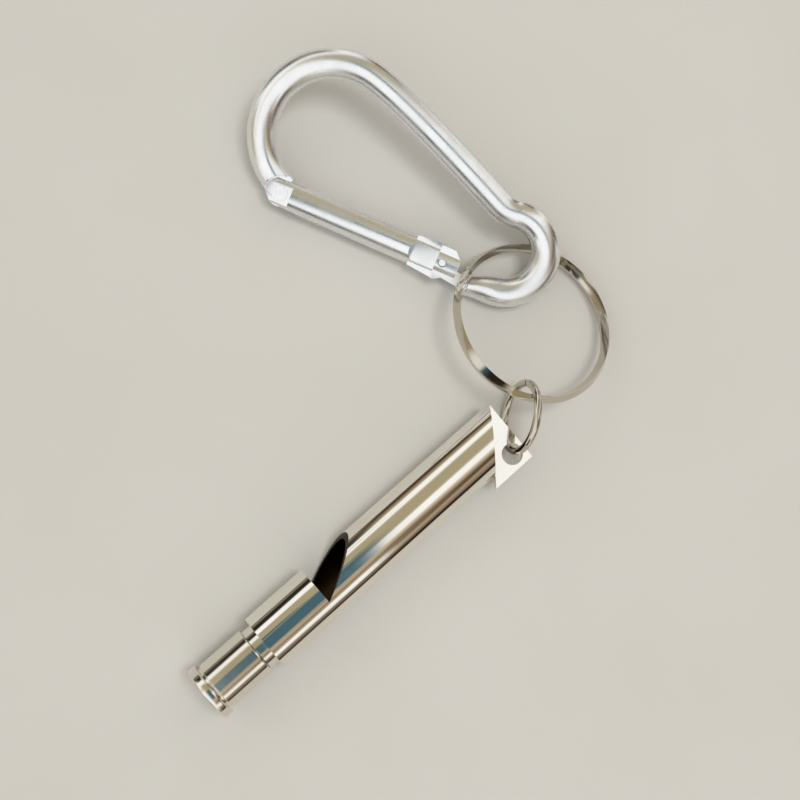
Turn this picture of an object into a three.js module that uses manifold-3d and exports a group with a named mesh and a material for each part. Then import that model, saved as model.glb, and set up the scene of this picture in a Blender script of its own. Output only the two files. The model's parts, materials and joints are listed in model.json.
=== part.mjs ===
// Emergency whistle on a key ring: a nickel-plated tube whistle with a pinched hanging tab, a jump ring,
// a two-turn split ring and a small aluminium carabiner with a sprung gate.
// Millimetres and degrees, +Z up, lying on a level surface, origin under the middle of the whole chain.
import * as THREE from "three";
import { mergeVertices } from "three/addons/utils/BufferGeometryUtils.js";
import Module from "manifold-3d";

const wasm = await Module();
wasm.setup();

// Whistle tube
const tubeDiameter = 9.5;
const tubeWall = 0.5;
const tubeLength = 51.9;
const windowStart = 11.3;
const windowLength = 9.2;
const windowDepth = 4.7;
const windowTurn = 17;

// Pinched hanging tab at the tail of the tube
const tabLength = 8.2;
const tabReach = 6.5;
const tabThickness = 1;
const tabFarReach = 4.5;
const pinchRun = 2.6;
const flareRun = 1.1;
const tabEdgeCrispness = 4;
const holeDiameter = 3.6;
const holeToEnd = 2.4;
const holeToSide = 2.5;

// Mouthpiece and fipple block
const rimDiameter = 9.2;
const rimThickness = 1.5;
const rimRounding = 0.35;
const reliefWidth = 0.4;
const reliefDepth = 0.3;
const barrelDiameter = 8.1;
const barrelLength = 8.4;
const neckDiameter = 7.2;
const neckLength = 1.7;
const spigotLength = 3.5;
const airBore = 4.6;
const windwayHeight = 1.2;
const plenumLength = 1;

// Jump ring
const jumpWire = 1.3;
const jumpInside = 10.1;
const jumpSeam = 0.5;
const jumpSeamAngle = -15;

// Split ring of flat wire
const splitOutside = 28.8;
const splitWireThickness = 1.05;
const splitWireWidth = 1.3;
const splitTurnGap = 0.45;
const splitEndAngle = 15;
const splitCorner = 0.2;

// Carabiner frame: along the gate from the pivot, and across towards the spine
const frameWire = 4.9;
const bendAlong = 4.5;
const bendRadius = 11.6;
const spineAngle = 80;
const spineEase = 6;
const hookBeyondGate = 6.5;
const hookAcross = 5.6;
const hookRadius = 6.7;
const kinkAngle = 113;
const kinkRun = 2;
const hookEndAngle = -80;
const noseRun = 5;
const noseWidth = 3.5;
const noseHeight = 4.2;
const noseRounding = 0.8;
const tongueThickness = 2;
const tongueWidth = 2.2;
const tongueAcross = -1;

// Carabiner gate and its small parts
const gateDiameter = 5.1;
const gateLength = 31.8;
const cheekFlatDepth = 0.55;
const pivotFlatLength = 1.8;
const pivotHeel = 190;
const pivotCornerAlong = 0.9;
const pivotCornerDepth = 0.65;
const pivotTaper = 6.5;
const lipLength = 8.2;
const lipThickness = 0.4;
const lipReach = 0.2;
const flangeReach = 0.5;
const collarLength = 3.9;
const collarFlatLength = 3.2;
const tipLength = 1.4;
const tipDepth = 0.7;
const pocketLength = 4.9;
const pocketWidth = 3.6;
const rivetDiameter = 1.6;
const rivetHeadDiameter = 2.6;
const rivetHeadHeight = 0.12;
const pinDiameter = 1.3;
const pinFromTip = 2.8;
const toeLength = 1.1;
const springBore = 3;
const springLength = 7.2;
const springOutside = 2.4;
const springWire = 0.35;
const springTurns = 8;
const plungerDiameter = 2.4;
const plungerLength = 3;
const camFlat = 1.9;

// Clearances
const slip = 0.25;
const press = 0.15;
const hang = 0.3;
const slotPlay = 0.5;

// How the chain lies
const tabRoll = 3;
const jumpLean = 77.4;
const jumpHeading = 130.9;
const jumpSeat = 45.6;
const splitHeading = 7.4;
const splitSeat = 56.2;
const hookSeatOnSplit = -122.6;
const hookSeatOnHook = 28;
const hookSeatRise = 58.5;
const frameLean = 22.3;
const frameLeanHeading = -154.4;
const gateHeading = -62.6;

// Facet counts
const roundSides = 48;
const gateSides = 32;
const pinSides = 24;
const boreSides = 20;
const wireSides = 16;
const jumpSides = 12;
const springSides = 5;
const arcSegments = 16;
const ringSteps = 60;
const frameStep = 1.25;
const noseSteps = 4;

const radians = THREE.MathUtils.degToRad;
const smooth = (value, from, to) => THREE.MathUtils.smoothstep(value, from, to);

// Materials
const finish = (color, roughness) => new THREE.MeshStandardMaterial({ color, roughness, metalness: 1 });
const nickel = finish(0xd2cdc2, 0.12);
const brass = finish(0xb99a5e, 0.35);
const nickelSteel = finish(0xb9b5aa, 0.18);
const aluminium = finish(0xe4e6e9, 0.24);
const steel = finish(0xa9abad, 0.32);
const springSteel = finish(0x8d8f92, 0.35);

// A closed three.js geometry as a solid for cutting and joining.
function solidOf(geometry) {
  const bare = geometry.clone();
  bare.deleteAttribute("normal");
  bare.deleteAttribute("uv");
  const merged = mergeVertices(bare, 1e-4);
  return new wasm.Manifold(
    new wasm.Mesh({
      numProp: 3,
      vertProperties: merged.attributes.position.array,
      triVerts: new Uint32Array(merged.index.array),
    }),
  );
}

// A cut or joined solid as a three.js geometry again.
function geometryOf(solid) {
  const made = solid.getMesh();
  return new THREE.BufferGeometry()
    .setAttribute("position", new THREE.BufferAttribute(made.vertProperties, 3))
    .setIndex(new THREE.BufferAttribute(made.triVerts, 1));
}

function piece(name, geometry, material) {
  const mesh = new THREE.Mesh(geometry, material);
  mesh.name = name;
  mesh.geometry.computeVertexNormals();
  return mesh;
}

// Skins a row of point rings, each turning left about the way the row runs, and caps both ends.
function skin(rings) {
  const sides = rings[0].length;
  const middle = (ring) => ring.reduce((sum, p) => sum.add(p), new THREE.Vector3()).divideScalar(sides);
  const points = [...rings.flat(), middle(rings[0]), middle(rings.at(-1))];
  const startCap = points.length - 2;
  const endCap = points.length - 1;
  const lastRing = (rings.length - 1) * sides;
  const faces = [];
  for (let side = 0; side < sides; side += 1) {
    const next = (side + 1) % sides;
    for (let row = 0; row < lastRing; row += sides) {
      faces.push(row + side, row + next, row + sides + next);
      faces.push(row + side, row + sides + next, row + sides + side);
    }
    faces.push(startCap, next, side);
    faces.push(endCap, lastRing + side, lastRing + next);
  }
  return new THREE.BufferGeometry().setFromPoints(points).setIndex(faces);
}

// Least distance between the points of two rings that lie at least so many rings apart.
function leastSelfGap(rings, apart) {
  let least = Infinity;
  for (let one = 0; one < rings.length; one += 1) {
    for (let other = one + apart; other < rings.length; other += 1) {
      for (const p of rings[one]) {
        for (const q of rings[other]) least = Math.min(least, p.distanceTo(q));
      }
    }
  }
  return least;
}

// A round bar along X.
function barAlongX(diameter, from, to, sides = roundSides) {
  return new THREE.CylinderGeometry(diameter / 2, diameter / 2, to - from, sides)
    .rotateZ(-Math.PI / 2)
    .translate((from + to) / 2, 0, 0);
}

// A round bar along Z through a point of the XY plane.
function barAlongZ(diameter, x, y, height, sides = pinSides) {
  return new THREE.CylinderGeometry(diameter / 2, diameter / 2, height, sides)
    .rotateX(Math.PI / 2)
    .translate(x, y, 0);
}

// A flat outline of XY points made a plate that is centred on z = 0.
function plate(outline, thickness) {
  const shape = Array.isArray(outline) ? new THREE.Shape(outline) : outline;
  const made = new THREE.ExtrudeGeometry(shape, { depth: thickness, bevelEnabled: false, curveSegments: arcSegments });
  return made.translate(0, 0, -thickness / 2);
}

function rectangle(x0, y0, x1, y1) {
  return [
    new THREE.Vector2(x0, y0),
    new THREE.Vector2(x1, y0),
    new THREE.Vector2(x1, y1),
    new THREE.Vector2(x0, y1),
  ];
}

// A profile of [x, radius] pairs turned about the X axis.
function turnedAboutX(profile, sides = roundSides) {
  const points = profile.map(([x, radius]) => new THREE.Vector2(radius, x));
  return new THREE.LatheGeometry(points, sides).rotateZ(-Math.PI / 2);
}

// A profile of [z, radius] pairs turned about the Z axis.
function turnedAboutZ(profile, sides = pinSides) {
  const points = profile.map(([z, radius]) => new THREE.Vector2(radius, z));
  return new THREE.LatheGeometry(points, sides).rotateX(Math.PI / 2);
}

// Whistle places: X along the tube from the mouth rim, the tab in the XY plane
const tubeRadius = tubeDiameter / 2;
const boreRadius = tubeRadius - tubeWall;
const tubeFront = rimThickness + barrelLength + neckLength;
const tubeEnd = tubeFront + tubeLength;
const windowWall = tubeFront + windowStart;
const spigotEnd = tubeFront + spigotLength;
const holeCentre = new THREE.Vector2(tubeEnd - holeToEnd, holeToSide - tabReach);
const pinchSlope = tabLength / (tabFarReach + tabReach);

// Where the pinching die's edge crosses the tab, at a distance across it.
const dieEdge = (across) => tubeEnd - (tabFarReach - across) * pinchSlope;

// One ring of the tube's outside: round ahead of the die's edge, flat behind it.
function pinchedRing(offset) {
  const flat = smooth(offset, -pinchRun, 0);
  const flare = smooth(offset, -flareRun, 0);
  const ring = [];
  for (let side = 0; side < roundSides; side += 1) {
    const angle = (2 * Math.PI * side) / roundSides;
    const reach = Math.cos(angle) < 0 ? tubeRadius + (tabReach - tubeRadius) * flare : tubeRadius;
    const across = reach * Math.cos(angle);
    const edgeRound = THREE.MathUtils.clamp(tabEdgeCrispness * Math.sin(angle), -1, 1);
    const rise = (1 - flat) * tubeRadius * Math.sin(angle) + (flat * edgeRound * tabThickness) / 2;
    ring.push(new THREE.Vector3(dieEdge(across) + offset, across, rise));
  }
  return ring;
}

function whistleTube() {
  const shoulderSteps = 10;
  const front = pinchedRing(-pinchRun).map((p) => new THREE.Vector3(tubeFront, p.y, p.z));
  const rings = [front];
  for (let step = 0; step <= shoulderSteps; step += 1) {
    rings.push(pinchedRing(-pinchRun + (pinchRun * step) / shoulderSteps));
  }
  rings.push(pinchedRing(tabLength + flareRun));
  const wide = 2 * tabReach;
  const length = solidOf(plate(rectangle(0, -wide, tubeEnd, wide), wide));
  const boreStop = (across) => dieEdge(across) - pinchRun - press;
  const boreOutline = [
    new THREE.Vector2(0, -wide),
    new THREE.Vector2(boreStop(-wide), -wide),
    new THREE.Vector2(boreStop(wide), wide),
    new THREE.Vector2(0, wide),
  ];
  const bore = solidOf(barAlongX(2 * boreRadius, 0, tubeEnd)).intersect(solidOf(plate(boreOutline, wide)));
  const top = tubeRadius + tubeWall;
  const apex = tubeRadius - windowDepth;
  const lipRun = (windowLength * (top - apex)) / windowDepth;
  const notch = [
    new THREE.Vector2(windowWall, apex),
    new THREE.Vector2(windowWall + lipRun, top),
    new THREE.Vector2(windowWall, top),
  ];
  const window = solidOf(plate(notch, wide).rotateX(radians(windowTurn)));
  const hole = solidOf(barAlongZ(holeDiameter, holeCentre.x, holeCentre.y, wide));
  return geometryOf(solidOf(skin(rings)).intersect(length).subtract(bore).subtract(window).subtract(hole));
}

function mouthpiece() {
  const rim = rimDiameter / 2;
  const barrel = barrelDiameter / 2;
  const relief = barrel - reliefDepth;
  const neck = neckDiameter / 2;
  const spigot = boreRadius - press;
  const air = airBore / 2;
  const neckStart = rimThickness + barrelLength;
  const edge = rimRounding;
  const soft = edge * (1 - Math.SQRT1_2);
  const profile = [
    [edge, air],
    [0, air + edge],
    [0, rim - edge],
    [soft, rim - soft],
    [edge, rim],
    [rimThickness - edge, rim],
    [rimThickness - soft, rim - soft],
    [rimThickness, rim - edge],
    [rimThickness, relief],
    [rimThickness + reliefWidth, relief],
    [rimThickness + reliefWidth, barrel],
    [neckStart - edge, barrel],
    [neckStart, barrel - edge],
    [neckStart, neck],
    [tubeFront + press, neck],
    [tubeFront + press + edge, spigot],
    [spigotEnd, spigot],
    [spigotEnd, air],
    [edge, air],
  ];
  return turnedAboutX(profile);
}

// The block fills the bore up to the window, apart from the flat windway under the window's side.
function fippleBlock() {
  const radius = boreRadius - press;
  const half = Math.acos((boreRadius - windwayHeight) / radius);
  const turn = radians(windowTurn);
  const outline = new THREE.Shape().absarc(0, 0, radius, turn + half, turn - half + 2 * Math.PI, false);
  const start = spigotEnd + plenumLength;
  const block = new THREE.ExtrudeGeometry(outline, {
    depth: windowWall - press - start,
    bevelEnabled: false,
    curveSegments: roundSides / 2,
  });
  const turned = new THREE.Matrix4().makeBasis(
    new THREE.Vector3(0, 1, 0),
    new THREE.Vector3(0, 0, 1),
    new THREE.Vector3(1, 0, 0),
  );
  return block.applyMatrix4(turned).translate(start, 0, 0);
}

// Rings of a wire round a path of {centre, outward, up} stations, with a section of [outward, up] offsets.
function wireRings(stations, section) {
  return stations.map(({ centre, outward, up }) =>
    section.map(([o, u]) => centre.clone().addScaledVector(outward, o).addScaledVector(up, u)),
  );
}

// An oval or round section that turns from outward to up.
function ovalSection(halfOut, halfUp, sides) {
  return Array.from({ length: sides }, (_, side) => {
    const angle = (2 * Math.PI * side) / sides;
    return [halfOut * Math.cos(angle), halfUp * Math.sin(angle)];
  });
}

// Jump ring: a round wire bent until its ends nearly meet. Angle 0 is level, angle -90 its top.
const jumpRadius = (jumpInside + jumpWire) / 2;

function jumpRing() {
  const seam = jumpSeam / jumpRadius;
  const stations = [];
  for (let step = 0; step <= ringSteps; step += 1) {
    const angle = radians(jumpSeamAngle) - seam / 2 - ((2 * Math.PI - seam) * step) / ringSteps;
    const outward = new THREE.Vector3(Math.cos(angle), Math.sin(angle), 0);
    stations.push({ centre: outward.clone().multiplyScalar(jumpRadius), outward, up: new THREE.Vector3(0, 0, 1) });
  }
  return skin(wireRings(stations, ovalSection(jumpWire / 2, jumpWire / 2, jumpSides)));
}

// Split ring: two turns of flat wire, lying on each other, with the crossing from turn to turn
// between the two ends. Angle 0 is the middle of the crossing.
const splitRadius = (splitOutside - splitWireThickness) / 2;
const splitPitch = splitWireWidth + splitTurnGap;
const splitWidth = splitWireWidth + splitPitch;

function splitRing() {
  const sweep = 360 - splitEndAngle;
  const steps = Math.round((2 * sweep * ringSteps) / 360);
  const half = splitWireThickness / 2;
  const tall = splitWireWidth / 2;
  const cut = splitCorner;
  const section = [
    [half, -tall + cut],
    [half, tall - cut],
    [half - cut, tall],
    [-half + cut, tall],
    [-half, tall - cut],
    [-half, -tall + cut],
    [-half + cut, -tall],
    [half - cut, -tall],
  ];
  const stations = [];
  for (let step = 0; step <= steps; step += 1) {
    const degrees = sweep - (2 * sweep * step) / steps;
    const layer = splitPitch * (smooth(degrees, -splitEndAngle, splitEndAngle) - 0.5);
    const outward = new THREE.Vector3(Math.cos(radians(degrees)), Math.sin(radians(degrees)), 0);
    const centre = outward.clone().multiplyScalar(splitRadius).setZ(layer);
    stations.push({ centre, outward, up: new THREE.Vector3(0, 0, 1) });
  }
  const rings = wireRings(stations, section);
  console.log("split ring, least gap between its turns:", leastSelfGap(rings, ringSteps / 2).toFixed(2), "mm");
  return skin(rings);
}

// Carabiner places: X along the gate from its rivet, Y towards the spine
const frameRadius = frameWire / 2;
const gateRadius = gateDiameter / 2;
const bendCentre = new THREE.Vector2(bendAlong, bendRadius);
const hookAlong = gateLength + hookBeyondGate;
const hookCentre = new THREE.Vector2(hookAlong, hookAcross);
const tongueHalf = tongueThickness / 2;
const slotWidth = tongueThickness + 2 * slip;
const cheekFace = gateRadius - cheekFlatDepth;
const pinAlong = gateLength - pinFromTip;
const toeEnd = pinAlong - pinDiameter / 2 - slip - toeLength;

// A slab of the carabiner's plane, wider than the whole carabiner.
function planeSlab(thickness) {
  const wide = 2 * (hookAlong + hookRadius);
  return solidOf(plate(rectangle(-wide, -wide, wide, wide), thickness));
}

function onCircle(centre, radius, degrees) {
  return new THREE.Vector2(radius * Math.cos(radians(degrees)), radius * Math.sin(radians(degrees))).add(centre);
}

// The frame's middle line, from the gate's rivet round the bend, down the bowed spine, round the hook and
// along the nose to the toe of the latch tongue.
function frameMidline() {
  const spineStart = onCircle(bendCentre, bendRadius, spineAngle);
  const spineAim = onCircle(spineStart, spineEase, spineAngle - 90);
  const kink = onCircle(hookCentre, hookRadius, kinkAngle);
  const toKink = kink.clone().sub(spineAim);
  const spineEnd = kink.clone().addScaledVector(toKink, -kinkRun / toKink.length());
  const hookStart = kinkAngle - THREE.MathUtils.radToDeg(kinkRun / hookRadius);
  const hookStartPoint = onCircle(hookCentre, hookRadius, hookStart);
  const hookEnd = onCircle(hookCentre, hookRadius, hookEndAngle);
  const noseEnd = onCircle(hookEnd, noseRun, hookEndAngle - 90);
  const line = new THREE.Path();
  const bendStart = Math.atan2(-bendRadius, -bendAlong);
  line.absarc(bendCentre.x, bendCentre.y, bendRadius, bendStart, radians(spineAngle - 360), true);
  line.quadraticCurveTo(spineAim.x, spineAim.y, spineEnd.x, spineEnd.y);
  line.quadraticCurveTo(kink.x, kink.y, hookStartPoint.x, hookStartPoint.y);
  line.absarc(hookCentre.x, hookCentre.y, hookRadius, radians(hookStart), radians(hookEndAngle), true);
  const bodyLength = line.getLength();
  line.lineTo(noseEnd.x, noseEnd.y);
  const noseLength = line.getLength();
  line.lineTo(toeEnd, tongueAcross);
  return { line, bodyLength, noseLength };
}

function carabinerFrame() {
  const { line, bodyLength, noseLength } = frameMidline();
  const length = line.getLength();
  const rodSteps = Math.ceil(noseLength / frameStep);
  const places = [];
  for (let step = 0; step <= rodSteps; step += 1) places.push((noseLength * step) / rodSteps);
  for (let step = 1; step <= noseSteps; step += 1) places.push(noseLength + (noseRounding * step) / noseSteps);
  places.push(length);
  const rings = places.map((place) => {
    const centre = line.getPointAt(place / length);
    const ahead = line.getTangentAt(place / length);
    const narrow = smooth(place, bodyLength, noseLength);
    const rounding = THREE.MathUtils.clamp((place - noseLength) / noseRounding, 0, 1);
    const thin = 1 - Math.sqrt(1 - rounding * rounding);
    const rodOut = THREE.MathUtils.lerp(frameRadius, noseWidth / 2, narrow);
    const rodUp = THREE.MathUtils.lerp(frameRadius, noseHeight / 2, narrow);
    const station = {
      centre: new THREE.Vector3(centre.x, centre.y, 0),
      outward: new THREE.Vector3(-ahead.y, ahead.x, 0),
      up: new THREE.Vector3(0, 0, 1),
    };
    const halfOut = THREE.MathUtils.lerp(rodOut, tongueWidth / 2, thin);
    const halfUp = THREE.MathUtils.lerp(rodUp, tongueHalf, thin);
    return wireRings([station], ovalSection(halfOut, halfUp, wireSides))[0];
  });
  const far = 4 * frameWire;
  const cheekRoom = gateRadius + slip;
  const cheekPlaces = solidOf(barAlongZ(2 * cheekRoom, 0, 0, far))
    .add(solidOf(plate(rectangle(0, -far, gateLength + slip, frameRadius), far)))
    .subtract(planeSlab(tongueThickness));
  const knuckle = solidOf(barAlongZ(frameWire - 2 * slip, 0, 0, tongueThickness));
  const camCut = solidOf(plate(rectangle(camFlat, -far / 4, far / 4, far / 4), far));
  const rivetHole = solidOf(barAlongZ(rivetDiameter + 2 * slip, 0, 0, far));
  const notchRadius = pinDiameter / 2 + slip;
  const notch = solidOf(barAlongZ(2 * notchRadius, pinAlong, 0, far)).add(
    solidOf(plate(rectangle(pinAlong - notchRadius, 0, pinAlong + notchRadius, frameRadius), far)),
  );
  return geometryOf(
    solidOf(skin(rings)).subtract(cheekPlaces).add(knuckle)
      .subtract(camCut).subtract(rivetHole).subtract(notch),
  );
}

// The gate's outline in the carabiner's plane: round about the rivet with a cut corner on the outer side,
// pressed wider towards the tip, and narrowed at the tip itself.
function gateOutline() {
  const lip = gateRadius + lipReach;
  const flange = gateRadius + flangeReach;
  const tip = gateRadius - tipDepth;
  const outline = new THREE.Shape();
  outline.absarc(0, 0, gateRadius, Math.PI / 2, radians(pivotHeel), false);
  outline.lineTo(-pivotCornerAlong, pivotCornerDepth - gateRadius);
  outline.lineTo(pivotTaper, -gateRadius);
  outline.lineTo(gateLength - lipLength, -gateRadius);
  outline.lineTo(gateLength - collarFlatLength, -flange);
  outline.lineTo(gateLength - tipLength, -tip);
  outline.lineTo(gateLength, -tip);
  outline.lineTo(gateLength, lip - 2 * tipDepth);
  outline.lineTo(gateLength - tipLength, lip);
  outline.lineTo(gateLength - lipLength + 2 * lipReach, lip);
  outline.lineTo(gateLength - lipLength, gateRadius);
  return outline;
}

// A milled pocket with a round end, just behind the collar that holds the latch pin.
function pocketOutline() {
  const end = gateLength - collarLength;
  const half = pocketWidth / 2;
  const outline = new THREE.Shape();
  outline.absarc(end - pocketLength + half, 0, half, Math.PI / 2, 1.5 * Math.PI, false);
  outline.lineTo(end, -half);
  outline.lineTo(end, half);
  return outline;
}

const pivotSlotEnd = gateRadius + slip + slotPlay;
const springSeat = pivotSlotEnd + plungerLength + springLength;

function carabinerGate() {
  const far = 4 * gateDiameter;
  const lips = solidOf(plate(rectangle(gateLength - lipLength, -far, gateLength, far), slotWidth + 2 * lipThickness));
  const collar = solidOf(plate(rectangle(gateLength - collarLength, -far, gateLength, far), 2 * cheekFace));
  const rod = solidOf(barAlongX(gateDiameter, -gateDiameter, gateLength, gateSides)).add(lips).add(collar);
  const pivotFlats = solidOf(plate(rectangle(-far, -far, pivotFlatLength, far), far)).subtract(planeSlab(2 * cheekFace));
  const pockets = solidOf(plate(pocketOutline(), far)).subtract(planeSlab(2 * cheekFace));
  const pivotSlot = solidOf(plate(rectangle(-far, -far, pivotSlotEnd, far), slotWidth));
  const noseSlot = solidOf(plate(rectangle(toeEnd - slotPlay, -far, 2 * gateLength, far), slotWidth));
  const bore = solidOf(barAlongX(springBore, 0, springSeat, boreSides));
  const rivetHole = solidOf(barAlongZ(rivetDiameter + 2 * press, 0, 0, far));
  const pinHole = solidOf(barAlongZ(pinDiameter + 2 * press, pinAlong, 0, far));
  return geometryOf(
    rod.intersect(solidOf(plate(gateOutline(), far)))
      .subtract(pivotFlats).subtract(pockets).subtract(pivotSlot).subtract(noseSlot)
      .subtract(bore).subtract(rivetHole).subtract(pinHole),
  );
}

function pivotRivet() {
  const shank = rivetDiameter / 2;
  const head = rivetHeadDiameter / 2;
  const seat = cheekFace + press;
  const top = seat + rivetHeadHeight;
  const crown = rivetHeadHeight / 3;
  const shoulder = head - crown;
  const profile = [
    [-top, 0],
    [-top, head / 2],
    [-top + crown, shoulder],
    [-seat, head],
    [-seat, shank],
    [seat, shank],
    [seat, head],
    [top - crown, shoulder],
    [top, head / 2],
    [top, 0],
  ];
  return turnedAboutZ(profile);
}

function latchPin() {
  const radius = pinDiameter / 2;
  const end = cheekFace - press / 2;
  const edge = press;
  const profile = [
    [-end, 0],
    [-end, radius - edge],
    [-end + edge, radius],
    [end - edge, radius],
    [end, radius - edge],
    [end, 0],
  ];
  return turnedAboutZ(profile).translate(pinAlong, 0, 0);
}

// The plunger is pushed by the spring against the flat on the frame's knuckle.
function springPlunger() {
  const radius = plungerDiameter / 2;
  const start = camFlat + hang;
  const end = pivotSlotEnd + plungerLength;
  const edge = radius / 4;
  const profile = [
    [start, 0],
    [start, tongueHalf - slip],
    [start + edge, tongueHalf],
    [pivotSlotEnd + slip, tongueHalf],
    [pivotSlotEnd + slip, radius],
    [end, radius],
    [end, 0],
  ];
  return turnedAboutX(profile, boreSides);
}

function gateSpring() {
  const stepsPerTurn = 8;
  const steps = springTurns * stepsPerTurn;
  const coilRadius = (springOutside - springWire) / 2;
  const start = pivotSlotEnd + plungerLength + springWire / 2 + press;
  const run = springLength - springWire - 2 * press;
  const stations = [];
  for (let step = 0; step <= steps; step += 1) {
    const angle = (2 * Math.PI * step) / stepsPerTurn;
    const outward = new THREE.Vector3(0, Math.cos(angle), Math.sin(angle));
    const centre = outward.clone().multiplyScalar(coilRadius).setX(start + (run * step) / steps);
    stations.push({ centre, outward, up: new THREE.Vector3(-1, 0, 0) });
  }
  const rings = wireRings(stations, ovalSection(springWire / 2, springWire / 2, springSides));
  console.log("gate spring, least gap between its curls:", leastSelfGap(rings, stepsPerTurn / 2).toFixed(2), "mm");
  return skin(rings);
}

// A direction that leans so far from upright, towards a heading.
function leaning(lean, heading) {
  const flat = Math.sin(radians(lean));
  return new THREE.Vector3(
    flat * Math.cos(radians(heading)),
    flat * Math.sin(radians(heading)),
    Math.cos(radians(lean)),
  );
}

// A ring's own axes: X level, Y up the slope, Z its normal.
function ringAxes(normal) {
  const level = new THREE.Vector3().crossVectors(normal, new THREE.Vector3(0, 0, 1)).normalize();
  const slope = new THREE.Vector3().crossVectors(level, normal);
  return { level, slope, normal };
}

function inPlane({ level, slope }, degrees, radius) {
  return level.clone().multiplyScalar(radius * Math.cos(radians(degrees)))
    .addScaledVector(slope, radius * Math.sin(radians(degrees)));
}

function framed(xAxis, zAxis, origin) {
  const yAxis = new THREE.Vector3().crossVectors(zAxis, xAxis);
  const group = new THREE.Group();
  group.applyMatrix4(new THREE.Matrix4().makeBasis(xAxis, yAxis, zAxis).setPosition(origin));
  return group;
}

// The whistle lies on its tube, with the tab turned a little from level.
const whistle = new THREE.Group();
whistle.position.set(0, 0, Math.max(tubeDiameter, rimDiameter) / 2);
whistle.rotation.x = radians(tabRoll);
whistle.add(
  piece("whistle_tube", whistleTube(), nickel),
  piece("mouthpiece", mouthpiece(), nickel),
  piece("fipple_block", fippleBlock(), brass),
);
whistle.updateMatrix();

// The jump ring stands on the surface and passes through the tab's hole.
const jumpAxes = ringAxes(leaning(jumpLean, jumpHeading));
const holePoint = new THREE.Vector3(holeCentre.x, holeCentre.y, 0).applyMatrix4(whistle.matrix);
const jumpSteep = Math.sin(radians(jumpLean));
const jumpHeight = jumpRadius * jumpSteep + jumpWire / 2;
const climb = Math.asin((jumpHeight - holePoint.z) / (jumpRadius * jumpSteep));
const jumpClimb = THREE.MathUtils.radToDeg(climb);
const wireFootprint = jumpWire / 2 / Math.cos(climb) + (tabThickness / 2) * Math.tan(climb);
const wireInHole = holePoint.clone()
  .addScaledVector(jumpAxes.level, holeDiameter / 2 - wireFootprint - hang);
const jumpCentre = wireInHole.clone().add(inPlane(jumpAxes, jumpClimb, jumpRadius));
const jumpGroup = framed(jumpAxes.level, jumpAxes.normal, jumpCentre);
jumpGroup.add(piece("jump_ring", jumpRing(), nickelSteel));

// The split ring hangs in the jump ring and leans until its far side meets the surface.
const splitWireHalf = Math.hypot(splitWireThickness, splitWireWidth) / 2;
const splitPoint = jumpCentre.clone()
  .add(inPlane(jumpAxes, jumpSeat, jumpInside / 2 - hang - splitWireHalf));
const leanReach = splitOutside / 2 + splitRadius * Math.sin(radians(splitSeat));
const splitLean = THREE.MathUtils.radToDeg(
  Math.asin(splitPoint.z / Math.hypot(leanReach, splitWidth / 2)) - Math.atan2(splitWidth / 2, leanReach),
);
const splitAxes = ringAxes(leaning(splitLean, splitHeading));
const splitCentre = splitPoint.clone().sub(inPlane(splitAxes, splitSeat, splitRadius));
const splitGroup = framed(inPlane(splitAxes, splitSeat, 1), splitAxes.normal, splitCentre);
splitGroup.add(piece("split_ring", splitRing(), nickelSteel));

// The carabiner's hook rests on the split ring's inner edge, near the ring's low side.
const frameNormal = leaning(frameLean, frameLeanHeading);
const gateWay = leaning(90, gateHeading);
gateWay.addScaledVector(frameNormal, -gateWay.dot(frameNormal)).normalize();
const spineWay = new THREE.Vector3().crossVectors(frameNormal, gateWay);
const hookClear = frameRadius + hang;
const hookPoint = splitCentre.clone()
  .addScaledVector(splitAxes.normal, splitWidth / 2 + hookClear * Math.sin(radians(hookSeatRise)))
  .add(inPlane(splitAxes, hookSeatOnSplit,
    splitOutside / 2 - splitWireThickness - hookClear * Math.cos(radians(hookSeatRise))));
const hookSeatPoint = onCircle(hookCentre, hookRadius, hookSeatOnHook);
const framePivot = hookPoint.clone()
  .addScaledVector(gateWay, -hookSeatPoint.x)
  .addScaledVector(spineWay, -hookSeatPoint.y);
const carabiner = framed(gateWay, frameNormal, framePivot);
carabiner.add(
  piece("carabiner_frame", carabinerFrame(), aluminium),
  piece("carabiner_gate", carabinerGate(), aluminium),
  piece("gate_pivot_rivet", pivotRivet(), steel),
  piece("gate_latch_pin", latchPin(), steel),
  piece("gate_spring_plunger", springPlunger(), steel),
  piece("gate_spring", gateSpring(), springSteel),
);

const whistleOnRing = new THREE.Group();
whistleOnRing.add(whistle, jumpGroup, splitGroup, carabiner);

// The origin goes under the middle of the whole chain, on the surface it lies on.
whistleOnRing.updateMatrixWorld(true);
const extent = new THREE.Box3().setFromObject(whistleOnRing, true);
const middle = extent.getCenter(new THREE.Vector3());
whistleOnRing.position.set(-middle.x, -middle.y, -extent.min.z);

export default whistleOnRing;
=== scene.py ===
import json
import math
import bpy
from mathutils import Matrix, Vector


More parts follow.
